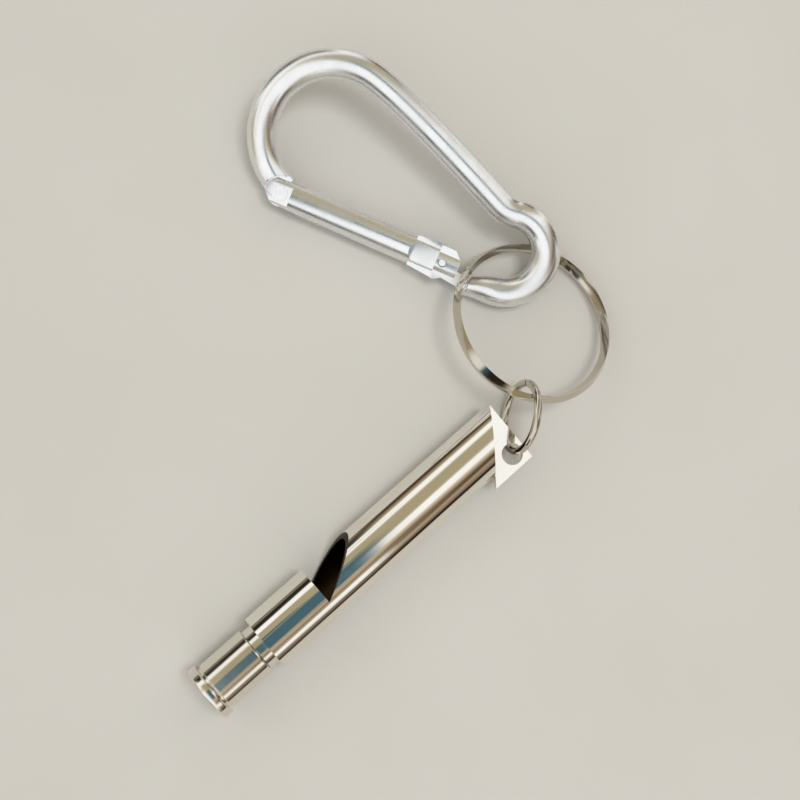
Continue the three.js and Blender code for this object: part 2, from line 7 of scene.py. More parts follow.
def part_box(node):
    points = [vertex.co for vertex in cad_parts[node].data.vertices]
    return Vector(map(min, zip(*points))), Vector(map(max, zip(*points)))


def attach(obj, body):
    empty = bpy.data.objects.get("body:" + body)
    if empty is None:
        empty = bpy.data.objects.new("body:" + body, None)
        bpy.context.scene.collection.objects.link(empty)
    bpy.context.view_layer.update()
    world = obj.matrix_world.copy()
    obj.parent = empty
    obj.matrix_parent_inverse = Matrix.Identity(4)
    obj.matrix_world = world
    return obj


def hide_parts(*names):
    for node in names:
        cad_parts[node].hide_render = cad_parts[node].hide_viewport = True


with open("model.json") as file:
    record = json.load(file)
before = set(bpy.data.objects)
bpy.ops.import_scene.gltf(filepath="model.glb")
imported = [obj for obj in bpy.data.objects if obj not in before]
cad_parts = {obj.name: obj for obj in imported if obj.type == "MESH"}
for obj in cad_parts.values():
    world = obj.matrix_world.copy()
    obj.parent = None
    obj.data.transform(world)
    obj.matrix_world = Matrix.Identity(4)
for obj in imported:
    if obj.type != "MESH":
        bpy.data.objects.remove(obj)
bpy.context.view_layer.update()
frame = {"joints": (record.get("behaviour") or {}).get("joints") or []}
joints = {joint["name"]: joint for joint in frame["joints"]}

mm = 0.001  # pieces are modelled in millimetres, each in its own frame, and then placed


# Selecting, cutting and finishing

def clearSelection():
    if bpy.context.object and bpy.context.object.mode != "OBJECT":
        bpy.ops.object.mode_set(mode="OBJECT")
    for other in list(bpy.context.selected_objects):
        other.select_set(False)


def pick(piece):
    clearSelection()
    piece.select_set(True)
    bpy.context.view_layer.objects.active = piece


def applyModifier(piece, kind, settings):
    pick(piece)
    modifier = piece.modifiers.new(kind.lower(), kind)
    for key, value in settings.items():
        setattr(modifier, key, value)
    bpy.ops.object.modifier_apply(modifier=modifier.name)


def combine(piece, kind, tool):
    applyModifier(piece, "BOOLEAN", {"operation": kind, "object": tool, "solver": "EXACT"})
    bpy.data.objects.remove(tool)


def softenEdges(piece, width, angle=30, segments=2):
    applyModifier(piece, "BEVEL", {
        "width": width, "segments": segments, "limit_method": "ANGLE", "angle_limit": math.radians(angle),
    })


def mended(piece, merge=0.0005):
    pick(piece)
    bpy.ops.object.mode_set(mode="EDIT")
    bpy.ops.mesh.select_all(action="SELECT")
    bpy.ops.mesh.remove_doubles(threshold=merge)
    bpy.ops.mesh.normals_make_consistent(inside=False)
    bpy.ops.object.mode_set(mode="OBJECT")
    return piece


def finished(piece, name, place, body, node, material, smoothAngle=30):
    piece.name = name
    piece.data.name = name
    piece.matrix_world = place @ Matrix.Scale(mm, 4)
    pick(piece)
    bpy.ops.object.transform_apply(location=True, rotation=True, scale=True)
    bpy.ops.object.shade_smooth_by_angle(angle=math.radians(smoothAngle))
    # large faces keep their own direction, so flats stay flat up to their rounded edges
    applyModifier(piece, "WEIGHTED_NORMAL", {"weight": 100, "keep_sharp": True})
    piece.data.materials.clear()
    piece.data.materials.append(material)
    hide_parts(node)
    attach(piece, body)
    print(name, "made with", len(piece.data.polygons), "faces")


# Starting shapes

def rodAlongX(diameter, start, end, sides):
    clearSelection()
    bpy.ops.mesh.primitive_cylinder_add(
        vertices=sides, radius=diameter / 2, depth=end - start,
        location=((start + end) / 2, 0, 0), rotation=(0, math.radians(90), 0),
    )
    rod = bpy.context.active_object
    bpy.ops.object.transform_apply(location=True, rotation=True, scale=True)
    return rod


def rodAlongZ(diameter, x, y, height, sides):
    clearSelection()
    bpy.ops.mesh.primitive_cylinder_add(
        vertices=sides, radius=diameter / 2, depth=height, location=(x, y, 0),
    )
    rod = bpy.context.active_object
    bpy.ops.object.transform_apply(location=True, rotation=True, scale=True)
    return rod


def block(x0, y0, z0, x1, y1, z1):
    clearSelection()
    bpy.ops.mesh.primitive_cube_add(size=1, location=((x0 + x1) / 2, (y0 + y1) / 2, (z0 + z1) / 2))
    made = bpy.context.active_object
    made.scale = (x1 - x0, y1 - y0, z1 - z0)
    bpy.ops.object.transform_apply(location=True, rotation=True, scale=True)
    return made


# A closed flat outline made a plate of some thickness about z = 0
def plate(outline, thickness):
    clearSelection()
    curve = bpy.data.curves.new("outline", "CURVE")
    curve.dimensions = "2D"
    curve.fill_mode = "BOTH"
    curve.extrude = thickness / 2
    line = curve.splines.new("POLY")
    line.points.add(len(outline) - 1)
    line.use_cyclic_u = True
    for point, (x, y) in zip(line.points, outline):
        point.co = (x, y, 0, 1)
    made = bpy.data.objects.new("plate", curve)
    bpy.context.scene.collection.objects.link(made)
    pick(made)
    bpy.ops.object.convert(target="MESH")
    return mended(bpy.context.active_object)


# Points on an arc about a centre, both ends included
def arc(centre, radius, start, end, steps):
    return [
        (
            centre[0] + radius * math.cos(math.radians(start + (end - start) * step / steps)),
            centre[1] + radius * math.sin(math.radians(start + (end - start) * step / steps)),
        )
        for step in range(steps + 1)
    ]


# Points of a bend that starts at one point, aims at another and ends at a third
def bend(start, aim, end, steps):
    return [
        tuple(start[i] * (1 - t) ** 2 + aim[i] * 2 * t * (1 - t) + end[i] * t ** 2 for i in (0, 1))
        for t in (step / steps for step in range(steps + 1))
    ]


# Goes gently from 0 to 1 as the value goes from start to end
def smoothStep(value, start, end):
    t = min(max((value - start) / (end - start), 0), 1)
    return t * t * (3 - 2 * t)


# Rounds the corners of an open profile of (along, radius, corner rounding)
def rounded(profile, steps=6):
    points = []
    for index, (x, r, rounding) in enumerate(profile):
        here = Vector((x, r))
        if rounding == 0 or index in (0, len(profile) - 1):
            points.append(here)
            continue
        back = Vector(profile[index - 1][:2]) - here
        ahead = Vector(profile[index + 1][:2]) - here
        start = here + back.normalized() * rounding
        end = here + ahead.normalized() * rounding
        for step in range(steps + 1):
            t = step / steps
            points.append(start * (1 - t) ** 2 + here * 2 * t * (1 - t) + end * t ** 2)
    return points


# Draws a profile point by point and spins it about X
def turned(points, steps):
    clearSelection()
    bpy.ops.mesh.primitive_plane_add(size=1)
    piece = bpy.context.active_object
    bpy.ops.object.mode_set(mode="EDIT")
    bpy.ops.mesh.select_all(action="SELECT")
    bpy.ops.mesh.merge(type="CENTER")
    bpy.ops.transform.translate(value=(points[0].x, 0, points[0].y))
    for before, after in zip(points, points[1:]):
        step = after - before
        bpy.ops.mesh.extrude_region_move(TRANSFORM_OT_translate={"value": (step.x, 0, step.y)})
    bpy.ops.mesh.select_all(action="SELECT")
    bpy.ops.mesh.spin(steps=steps, angle=2 * math.pi, center=(0, 0, 0), axis=(1, 0, 0))
    bpy.ops.object.mode_set(mode="OBJECT")
    return mended(piece)


# Sweeps a round wire of some diameter, or the section of a flat one, along a row of points
def wire(points, diameter=None, sides=None, section=None, swell=None):
    clearSelection()
    curve = bpy.data.curves.new("wire", "CURVE")
    curve.dimensions = "3D"
    curve.twist_mode = "Z_UP"
    curve.use_fill_caps = True
    line = curve.splines.new("POLY")
    line.points.add(len(points) - 1)
    for index, point in enumerate(line.points):
        point.co = (*points[index], 1)
        point.radius = swell[index] if swell else 1
    profile = None
    if section:
        outline = bpy.data.curves.new("section", "CURVE")
        outline.dimensions = "2D"
        edge = outline.splines.new("POLY")
        edge.points.add(len(section) - 1)
        edge.use_cyclic_u = True
        for point, (x, y) in zip(edge.points, section):
            point.co = (x, y, 0, 1)
        profile = bpy.data.objects.new("section", outline)
        bpy.context.scene.collection.objects.link(profile)
        curve.bevel_mode = "OBJECT"
        curve.bevel_object = profile
    else:
        curve.bevel_mode = "ROUND"
        curve.bevel_depth = diameter / 2
        curve.bevel_resolution = sides // 2 - 2
    made = bpy.data.objects.new("wire", curve)
    bpy.context.scene.collection.objects.link(made)
    pick(made)
    bpy.ops.object.convert(target="MESH")
    made = bpy.context.active_object
    if profile:
        bpy.data.objects.remove(profile)
    return mended(made)


# Materials

# sockets of the Mix node when it mixes two colours
mixShare, mixFirst, mixSecond, mixResult = 0, 6, 7, 2


# sRGB hex value to linear colour
def hexColour(text):
    channels = [int(text[i:i + 2], 16) / 255 for i in (0, 2, 4)]
    linear = [c / 12.92 if c <= 0.04045 else ((c + 0.055) / 1.055) ** 2.4 for c in channels]
    return (*linear, 1)


def addNode(tree, kind, settings=None, links=None):
    node = tree.nodes.new(kind)
    for key, value in (settings or {}).items():
        if isinstance(key, str) and hasattr(node, key):
            setattr(node, key, value)
        else:
            node.inputs[key].default_value = value
    for key, source in (links or {}).items():
        tree.links.new(source, node.inputs[key])
    return node


def newMaterial(name):
    material = bpy.data.materials.new(name)
    material.use_nodes = True
    return material, material.node_tree, material.node_tree.nodes["Principled BSDF"]


# Bright metal, with sizes in mm: colour and roughness drift over a patch between two values each,
# the polish is slightly wavy, and a fine grain lies on it.
def brightMetal(name, look):
    material, tree, shader = newMaterial(name)
    shader.inputs["Metallic"].default_value = 1
    place = addNode(tree, "ShaderNodeTexCoord")
    patches = addNode(
        tree, "ShaderNodeTexNoise",
        {"Scale": 1 / (look["patch"] * mm), "Detail": 4.0, "Roughness": 0.6},
        {"Vector": place.outputs["Object"]},
    )
    rough = addNode(
        tree, "ShaderNodeMapRange",
        {"From Min": 0.3, "From Max": 0.7, "To Min": look["roughness"][0], "To Max": look["roughness"][1]},
        {"Value": patches.outputs["Fac"]},
    )
    tree.links.new(rough.outputs["Result"], shader.inputs["Roughness"])
    tint = addNode(
        tree, "ShaderNodeMix",
        {"data_type": "RGBA", mixFirst: hexColour(look["colour"]), mixSecond: hexColour(look["worn"])},
        {mixShare: patches.outputs["Fac"]},
    )
    tree.links.new(tint.outputs[mixResult], shader.inputs["Base Color"])
    waves = addNode(
        tree, "ShaderNodeTexNoise",
        {"Scale": 1 / (look["wave"] * mm), "Detail": 1.0},
        {"Vector": place.outputs["Object"]},
    )
    waviness = addNode(
        tree, "ShaderNodeBump", {"Strength": 1.0, "Distance": look["waveHeight"] * mm},
        {"Height": waves.outputs["Fac"]},
    )
    grain = addNode(
        tree, "ShaderNodeTexNoise",
        {"Scale": 1 / (look["grain"] * mm), "Detail": 3.0, "Roughness": 0.7},
        {"Vector": place.outputs["Object"]},
    )
    texture = addNode(
        tree, "ShaderNodeBump", {"Strength": 1.0, "Distance": look["grainHeight"] * mm},
        {"Height": grain.outputs["Fac"], "Normal": waviness.outputs["Normal"]},
    )
    tree.links.new(texture.outputs["Normal"], shader.inputs["Normal"])
    return material


# Bright nickel plate on drawn brass tube: a warm mirror with the faint unevenness of the buffing
nickelPlate = brightMetal("brightNickelPlate", {
    "colour": "F4F1EA", "worn": "E9E5DB", "roughness": (0.05, 0.10), "patch": 6,
    "wave": 5, "waveHeight": 0.004, "grain": 0.25, "grainHeight": 0.0003,
})
# The same plate on turned metal: a little greyer and duller, as the lathe's marks break the mirror
nickelTurned = brightMetal("turnedNickelPlate", {
    "colour": "EFEBE2", "worn": "E0DACD", "roughness": (0.08, 0.15), "patch": 3,
    "wave": 4, "waveHeight": 0.003, "grain": 0.2, "grainHeight": 0.0006,
})
# Nickel-plated steel wire: a darker, slightly yellow-grey mirror, so the rings look harder than the tube
nickelWire = brightMetal("nickelPlatedWire", {
    "colour": "D6D0C4", "worn": "C2BBAD", "roughness": (0.06, 0.12), "patch": 2.5,
    "wave": 3, "waveHeight": 0.004, "grain": 0.15, "grainHeight": 0.0004,
})
# Tumbled and polished aluminium rod: a white metal with soft reflections and small dings
tumbledAluminium = brightMetal("tumbledAluminium", {
    "colour": "F3F4F4", "worn": "E8E9EA", "roughness": (0.22, 0.33), "patch": 4,
    "wave": 3.5, "waveHeight": 0.012, "grain": 0.3, "grainHeight": 0.0015,
})
# Unplated brass, turned: a dull brown gold, hardly lit inside the window
turnedBrass = brightMetal("turnedBrass", {
    "colour": "80633A", "worn": "5A4426", "roughness": (0.32, 0.45), "patch": 2,
    "wave": 2, "waveHeight": 0.004, "grain": 0.1, "grainHeight": 0.001,
})
# The tube's bore, where no plate reached: dark drawn brass
dullBore = brightMetal("dullDrawnBore", {
    "colour": "4A3826", "worn": "33271B", "roughness": (0.35, 0.5), "patch": 3,
    "wave": 3, "waveHeight": 0.003, "grain": 0.15, "grainHeight": 0.001,
})
# Drawn steel pins, bright: nearly as white as the gate, so an end shows mostly by the line round it
drawnSteel = brightMetal("drawnSteel", {
    "colour": "F1F2F2", "worn": "E4E6E7", "roughness": (0.2, 0.3), "patch": 1,
    "wave": 1, "waveHeight": 0.002, "grain": 0.08, "grainHeight": 0.001,
})
# Music wire: a darker grey, drawn smooth
musicWire = brightMetal("musicWire", {
    "colour": "9EA0A2", "worn": "84868A", "roughness": (0.25, 0.35), "patch": 0.8,
    "wave": 0.8, "waveHeight": 0.001, "grain": 0.06, "grainHeight": 0.001,
})
print("metals mixed")


# Where the pieces' own frames stand

def axesFrame(xAxis, zAxis, origin):
    z = Vector(zAxis).normalized()
    x = Vector(xAxis)
    x = (x - z * x.dot(z)).normalized()
    return Matrix.Translation(origin) @ Matrix((x, z.cross(x), z)).transposed().to_4x4()


def nodeMiddle(node):
    low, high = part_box(node)
    return (Vector(low) + Vector(high)) / 2


# Whistle: X along the tube from the mouth rim, Z square to the tab
whistle = {
    "tubeDiameter": 9.5, "tubeWall": 0.5, "tubeFront": 11.6, "tubeEnd": 63.5, "tubeSides": 256,
    "windowWall": 22.9, "windowLength": 9.2, "windowDepth": 4.7, "windowTurn": 17,
    "tabLength": 8.2, "tabReach": 6.5, "tabFarReach": 4.5, "tabThickness": 1.0, "tailWall": 1.0,
    "shoulderLean": 15, "underSetback": 2.6,
    "holeDiameter": 3.6, "holeAlong": 61.1, "holeAcross": -4.0, "holeSides": 96,
    "edge": 0.08, "boreSkin": 0.01, "platedEnd": 0.5,
}
swivel = joints["jump_ring_swivel"]
tabNormal = Vector(swivel["axis"]).normalized()
alongTube = Vector((1, 0, 0))
acrossTube = tabNormal.cross(alongTube)
mouth = (
    Vector(swivel["pos_m"])
    - alongTube * whistle["holeAlong"] * mm
    - acrossTube * whistle["holeAcross"] * mm
)
whistlePlace = axesFrame(alongTube, tabNormal, mouth)


# A point on the slanted line of the tail's shoulder, moved along the tube by an offset
def shoulder(size, across, offset=0):
    slope = size["tabLength"] / (size["tabFarReach"] + size["tabReach"])
    return size["tubeEnd"] - (size["tabFarReach"] - across) * slope + offset, across


# The tube ends at a slanted shoulder that leans back above, and is cut away below for the jump ring.
# The flat tab goes on from its closed end.
def shapeTail(tube, size, far):
    radius = size["tubeDiameter"] / 2
    boreRadius = radius - size["tubeWall"]
    end = size["tubeEnd"]
    beyond = end + 2 * far
    under = -size["underSetback"]
    lean = math.tan(math.radians(size["shoulderLean"]))
    for offset, back, low, high in ((0, lean, 0, far), (under, 0, -far, 0)):
        cut = plate([
            shoulder(size, -far, offset), (beyond, -far), (beyond, far), shoulder(size, far, offset),
        ], 2 * far)
        for vertex in cut.data.vertices:
            vertex.co.x -= back * vertex.co.z
        combine(cut, "INTERSECT", block(-far, -2 * far, low, 2 * beyond, 2 * far, high))
        combine(tube, "DIFFERENCE", cut)
    root = under - size["tailWall"] / 2
    combine(tube, "UNION", plate([
        (end, size["tabFarReach"]), shoulder(size, boreRadius, root), shoulder(size, -boreRadius, root),
        shoulder(size, -radius), shoulder(size, -size["tabReach"]), (end, -size["tabReach"]),
    ], size["tabThickness"]))


# The window is a wedge with an upright wall at the fipple and a slanted lip
def cutWindow(tube, size, far):
    radius = size["tubeDiameter"] / 2
    wall = size["windowWall"]
    top = radius + size["tubeWall"]
    apex = radius - size["windowDepth"]
    lipRun = size["windowLength"] * (top - apex) / size["windowDepth"]
    wedge = plate([(wall, apex), (wall + lipRun, top), (wall, top)], far)
    wedge.rotation_euler = (math.radians(size["windowTurn"]), 0, 0)
    pick(wedge)
    bpy.ops.object.transform_apply(location=True, rotation=True, scale=True)
    combine(tube, "DIFFERENCE", wedge)


def makeTube(size):
    boreRadius = size["tubeDiameter"] / 2 - size["tubeWall"]
    far = 2 * size["tubeDiameter"]  # well clear of the tube
    boreEnd = -size["underSetback"] - size["tailWall"]
    tube = rodAlongX(size["tubeDiameter"], size["tubeFront"], size["tubeEnd"], size["tubeSides"])
    bore = rodAlongX(2 * boreRadius, 0, size["tubeEnd"], size["tubeSides"])
    combine(bore, "INTERSECT", plate([
        (-far, -far), shoulder(size, -far, boreEnd), shoulder(size, far, boreEnd), (-far, far),
    ], far))
    combine(tube, "DIFFERENCE", bore)
    shapeTail(tube, size, far)
    cutWindow(tube, size, far)
    hole = rodAlongZ(size["holeDiameter"], size["holeAlong"], size["holeAcross"], far, size["holeSides"])
    combine(tube, "DIFFERENCE", hole)
    softenEdges(tube, size["edge"], angle=40)
    # the bore's faces stay unplated up to a little way short of the shoulder
    bareRadius = boreRadius + size["boreSkin"]
    bareEnd = shoulder(size, 0, -size["platedEnd"])[0]
    inside = [
        face.index for face in tube.data.polygons
        if math.hypot(face.center.y, face.center.z) < bareRadius and face.center.x < bareEnd
    ]
    finished(tube, "whistleTube", whistlePlace, "whistle", "whistle_tube", nickelPlate)
    tube.data.materials.append(dullBore)
    for index in inside:
        tube.data.polygons[index].material_index = 1


makeTube(whistle)


# Mouthpiece, turned from bar; a ridge's top starts and ends at two shares of the pitch
mouthpiece = {
    "rimDiameter": 9.2, "rimThickness": 1.5, "rimRounding": 0.35, "reliefWidth": 0.4, "reliefDepth": 0.3,
    "barrelDiameter": 8.1, "barrelEnd": 9.9, "barrelRounding": 0.3, "neckDiameter": 7.2,
    "spigotDiameter": 8.2, "spigotEnd": 15.1, "tubeGap": 0.15, "airBore": 4.6,
    "ridgePitch": 0.3, "ridgeHeight": 0.004, "ridgeTop": (0.35, 0.65), "edge": 0.08, "steps": 192,
}


def makeMouthpiece(size):
    rim = size["rimDiameter"] / 2
    barrel = size["barrelDiameter"] / 2
    relief = barrel - size["reliefDepth"]
    neck = size["neckDiameter"] / 2
    spigot = size["spigotDiameter"] / 2
    air = size["airBore"] / 2
    edge = size["edge"]
    reliefEnd = size["rimThickness"] + size["reliefWidth"]
    collar = whistle["tubeFront"] + size["tubeGap"]
    profile = [
        (size["spigotEnd"], air, 0),
        (0, air, size["rimRounding"]),
        (0, rim, size["rimRounding"]),
        (size["rimThickness"], rim, size["rimRounding"]),
        (size["rimThickness"], relief, edge),
        (reliefEnd, relief, edge),
        (reliefEnd, barrel, edge),
    ]
    # the tool leaves a fine ridge at each turn of the feed
    ridged = size["barrelEnd"] - size["barrelRounding"] - reliefEnd - edge
    for ridge in range(int(ridged / size["ridgePitch"]) - 1):
        start = reliefEnd + 2 * edge + ridge * size["ridgePitch"]
        profile.append((start, barrel - size["ridgeHeight"], 0))
        for share in size["ridgeTop"]:
            profile.append((start + share * size["ridgePitch"], barrel, 0))
    profile += [
        (size["barrelEnd"], barrel, size["barrelRounding"]),
        (size["barrelEnd"], neck, edge),
        (collar, neck, edge),
        (collar + size["barrelRounding"], spigot, edge),
        (size["spigotEnd"], spigot, edge),
        (size["spigotEnd"], air, 0),
    ]
    finished(
        turned(rounded(profile), size["steps"]), "mouthpiece", whistlePlace,
        "whistle", "mouthpiece", nickelTurned,
    )


makeMouthpiece(mouthpiece)


# Fipple block: a turned plug with a flat for the windway
fipple = {"diameter": 8.2, "start": 16.1, "end": 22.75, "windway": 1.2, "edge": 0.1, "sides": 128}


def makeFipple(size):
    plug = rodAlongX(size["diameter"], size["start"], size["end"], size["sides"])
    turn = math.radians(whistle["windowTurn"])
    toWindow = Vector((0, math.cos(turn), math.sin(turn)))
    flatAt = whistle["tubeDiameter"] / 2 - whistle["tubeWall"] - size["windway"]
    pick(plug)
    bpy.ops.object.mode_set(mode="EDIT")
    bpy.ops.mesh.select_all(action="SELECT")
    bpy.ops.mesh.bisect(
        plane_co=toWindow * flatAt, plane_no=toWindow, use_fill=True, clear_outer=True, threshold=0.0001,
    )
    bpy.ops.object.mode_set(mode="OBJECT")
    softenEdges(plug, size["edge"])
    finished(plug, "fippleBlock", whistlePlace, "whistle", "fipple_block", turnedBrass)


makeFipple(fipple)


# Jump ring: round wire bent until its ends nearly meet
jump = {
    "wire": 1.3, "inside": 10.1, "seam": 0.5, "seamAngle": -15, "edge": 0.07,
    "lean": 77.4, "heading": 130.9, "steps": 200, "sides": 40,
}


def leaning(lean, heading):
    lean, heading = math.radians(lean), math.radians(heading)
    return Vector((
        math.sin(lean) * math.cos(heading), math.sin(lean) * math.sin(heading), math.cos(lean),
    ))


def makeJumpRing(size):
    normal = leaning(size["lean"], size["heading"])
    place = axesFrame(normal.cross(Vector((0, 0, 1))), normal, nodeMiddle("jump_ring"))
    radius = (size["inside"] + size["wire"]) / 2
    halfSeam = math.degrees(size["seam"] / radius) / 2
    start = size["seamAngle"] - halfSeam
    end = size["seamAngle"] + halfSeam - 360
    turn = arc((0, 0), radius, start, end, size["steps"])
    ring = wire([(x, y, 0) for x, y in turn], diameter=size["wire"], sides=size["sides"])
    softenEdges(ring, size["edge"], angle=60)
    finished(ring, "jumpRing", place, "jump_ring", "jump_ring", nickelWire)


makeJumpRing(jump)


# Split ring: two turns of flat wire with the crossing between the two ends
split = {
    "outside": 28.8, "thickness": 1.45, "width": 1.3, "turnGap": 0.03, "cadTurnGap": 0.45,
    "endAngle": 15, "corner": 0.1, "cornerSteps": 4, "wallLean": 25, "stepsPerTurn": 300,
}


def makeSplitRing(size):
    fold = joints["split_ring_fold"]
    seat = Vector(fold["pos_m"])
    along = Vector(fold["axis"]).normalized()
    centre = nodeMiddle("split_ring")
    outward = seat - centre
    outward = (outward - along * outward.dot(along)).normalized()
    place = axesFrame(outward, outward.cross(along), centre)
    # the turns lie closer than the solid's, so each is a little wider within the same height
    height = 2 * size["width"] + size["cadTurnGap"]
    width = (height - size["turnGap"]) / 2
    pitch = width + size["turnGap"]
    ends = size["endAngle"]
    sweep = 360 - ends
    steps = round(2 * sweep * size["stepsPerTurn"] / 360)
    radius = (size["outside"] - size["thickness"]) / 2
    path = []
    for step in range(steps + 1):
        degrees = sweep - 2 * sweep * step / steps
        layer = pitch * (smoothStep(degrees, -ends, ends) - 0.5)
        angle = math.radians(degrees)
        path.append((radius * math.cos(angle), radius * math.sin(angle), layer))
    half, tall, cut = size["thickness"] / 2, width / 2, size["corner"]
    section = []
    for sideX, sideY, start in ((1, 1, 0), (-1, 1, 90), (-1, -1, 180), (1, -1, 270)):
        corner = (sideX * (half - cut), sideY * (tall - cut))
        section += arc(corner, cut, start, start + 90, size["cornerSteps"])
    ring = wire(path, section=section)
    # the walls lean in towards the ring's two faces, so that the stacked turns are thickest where they meet
    lean = math.tan(math.radians(size["wallLean"]))
    for vertex in ring.data.vertices:
        x, y, z = vertex.co
        reach = math.hypot(x, y)
        side = (reach - radius) * (1 - lean * abs(z) / half)
        vertex.co = (x * (radius + side) / reach, y * (radius + side) / reach, z)
    finished(
        ring, "splitRing", place, "split_ring",
        "split_ring", nickelWire, smoothAngle=40,
    )


makeSplitRing(split)


# Carabiner: X along the gate from its rivet, Y towards the spine, Z square to its plane
hinge = joints["gate_hinge"]
carabinerPlace = axesFrame(joints["plunger_slide"]["axis"], hinge["axis"], Vector(hinge["pos_m"]))

carabiner = {
    "rod": 4.9, "bendAlong": 4.5, "bendRadius": 11.6, "spineAngle": 80, "spineEase": 6,
    "hookAlong": 38.3, "hookAcross": 5.6, "hookRadius": 6.7, "kinkAngle": 113, "kinkRun": 2,
    "hookEndAngle": -80, "noseRun": 5, "noseWidth": 3.7, "noseRounding": 0.8,
    "tongueThickness": 2.0, "tongueWidth": 2.2, "tongueAcross": -1, "toeEnd": 27.0,
    "slip": 0.25, "reliefRise": 0.6, "camFlat": 1.9, "rivetRoom": 0.2, "pinRoom": 0.1, "edge": 0.08,
    "sides": 72, "eyeSides": 96, "holeSides": 48,
    "bendSteps": 120, "spineSteps": 60, "kinkSteps": 24, "hookSteps": 110,
    "noseSteps": 24, "roundSteps": 10,
}
gate = {
    "diameter": 5.1, "length": 31.8, "cheekFace": 2.0, "pivotFlat": 1.8, "pivotHeel": 190,
    "pivotCorner": (-0.9, -1.9), "pivotTaper": 6.5, "lipLength": 8.2, "lipThickness": 0.4, "lipReach": 0.2,
    "flangeReach": 0.5, "collarLength": 3.9, "collarFlat": 3.2, "collarOverrun": 0.01,
    "tipLength": 1.4, "tipDepth": 0.7, "pocketLength": 4.9, "pocketWidth": 3.6,
    "slot": 2.5, "pivotSlotEnd": 3.3, "noseSlotStart": 26.5,
    "springBore": 3.0, "springSeat": 13.5, "rivetHole": 1.9, "pinHole": 1.36, "pinAlong": 29.0,
    "edge": 0.09, "sides": 160, "holeSides": 48, "heelSteps": 40, "pocketSteps": 32,
}


def pointing(degrees):
    angle = math.radians(degrees)
    return Vector((math.cos(angle), math.sin(angle)))


# The rod's centre line round the bend, along the spine, through the kink and round the hook
def frameLine(size):
    bendCentre = (size["bendAlong"], size["bendRadius"])
    hookCentre = (size["hookAlong"], size["hookAcross"])
    start = math.degrees(math.atan2(-size["bendRadius"], -size["bendAlong"]))
    line = arc(bendCentre, size["bendRadius"], start, size["spineAngle"] - 360, size["bendSteps"])
    spineStart = Vector(line[-1])
    spineAim = spineStart + pointing(size["spineAngle"] - 90) * size["spineEase"]
    kink = Vector(arc(hookCentre, size["hookRadius"], size["kinkAngle"], size["kinkAngle"], 1)[0])
    spineEnd = kink - (kink - spineAim).normalized() * size["kinkRun"]
    hookStart = size["kinkAngle"] - math.degrees(size["kinkRun"] / size["hookRadius"])
    hook = arc(hookCentre, size["hookRadius"], hookStart, size["hookEndAngle"], size["hookSteps"])
    line += bend(spineStart, spineAim, spineEnd, size["spineSteps"])[1:]
    line += bend(spineEnd, kink, Vector(hook[0]), size["kinkSteps"])[1:]
    return line + hook[1:]


# The nose's centre line, which slims and ends round, with its width there as a share of the rod's
def noseLine(size, hookEnd, noseEnd, ahead):
    slim = size["noseWidth"] / size["rod"]
    blunt = size["tongueThickness"] / size["rod"] / 2
    line = []
    swell = []
    for step in range(1, size["noseSteps"] + 1):
        t = step / size["noseSteps"]
        line.append(tuple(hookEnd.lerp(noseEnd, t)))
        swell.append(1 + (slim - 1) * smoothStep(t, 0, 1))
    for step in range(1, size["roundSteps"] + 1):
        t = math.sin(math.radians(90 * step / size["roundSteps"]))
        line.append(tuple(noseEnd + ahead * size["noseRounding"] * t))
        swell.append(blunt + (slim - blunt) * math.sqrt(max(1 - t * t, 0)))
    return line, swell


# Cuts room for the gate, and makes the eye for its rivet and the notch for its latch pin
def fitGate(body, size, gateSize):
    rod = size["rod"]
    far = 4 * rod
    slab = size["tongueThickness"] / 2
    room = gateSize["diameter"] + 2 * size["slip"]
    gateEnd = gateSize["length"] + size["slip"]
    reliefTop = rod / 2 + size["reliefRise"]
    for low, high in ((slab, far), (-far, -slab)):
        cut = rodAlongZ(room, 0, 0, far, size["eyeSides"])
        combine(cut, "INTERSECT", block(-far, -far, low, far, far, high))
        combine(body, "DIFFERENCE", cut)
        combine(body, "DIFFERENCE", block(0, -far, low, gateEnd, reliefTop, high))
    # the eye has a flat for the plunger
    eye = rodAlongZ(rod - 2 * size["slip"], 0, 0, size["tongueThickness"], size["eyeSides"])
    combine(body, "UNION", eye)
    combine(body, "DIFFERENCE", block(size["camFlat"], -rod, -far, rod, rod, far))
    rivetHole = gateSize["rivetHole"] + size["rivetRoom"]
    combine(body, "DIFFERENCE", rodAlongZ(rivetHole, 0, 0, far, size["holeSides"]))
    # the notch is open towards the spine, the way that the pin swings out
    pinAlong = gateSize["pinAlong"]
    notch = gateSize["pinHole"] / 2 + size["pinRoom"]
    combine(body, "DIFFERENCE", rodAlongZ(2 * notch, pinAlong, 0, far, size["holeSides"]))
    combine(body, "DIFFERENCE", block(pinAlong - notch, 0, -far, pinAlong + notch, rod / 2, far))


def makeFrame(size, gateSize):
    line = frameLine(size)
    hookEnd = Vector(line[-1])
    noseEnd = hookEnd + pointing(size["hookEndAngle"] - 90) * size["noseRun"]
    toe = Vector((size["toeEnd"], size["tongueAcross"]))
    ahead = (toe - noseEnd).normalized()
    nose, noseSwell = noseLine(size, hookEnd, noseEnd, ahead)
    points = [(x, y, 0) for x, y in line + nose]
    swell = [1.0] * len(line) + noseSwell
    body = wire(points, diameter=size["rod"], sides=size["sides"], swell=swell)
    # the flat tongue that goes on from the nose into the gate
    side = Vector((-ahead.y, ahead.x)) * size["tongueWidth"] / 2
    root = noseEnd - ahead * size["noseRounding"]
    tongueOutline = [tuple(root - side), tuple(root + side), tuple(toe + side), tuple(toe - side)]
    combine(body, "UNION", plate(tongueOutline, size["tongueThickness"]))
    fitGate(body, size, gateSize)
    softenEdges(body, size["edge"], angle=40)
    finished(
        body, "carabinerFrame", carabinerPlace, "carabiner",
        "carabiner_frame", tumbledAluminium, smoothAngle=35,
    )


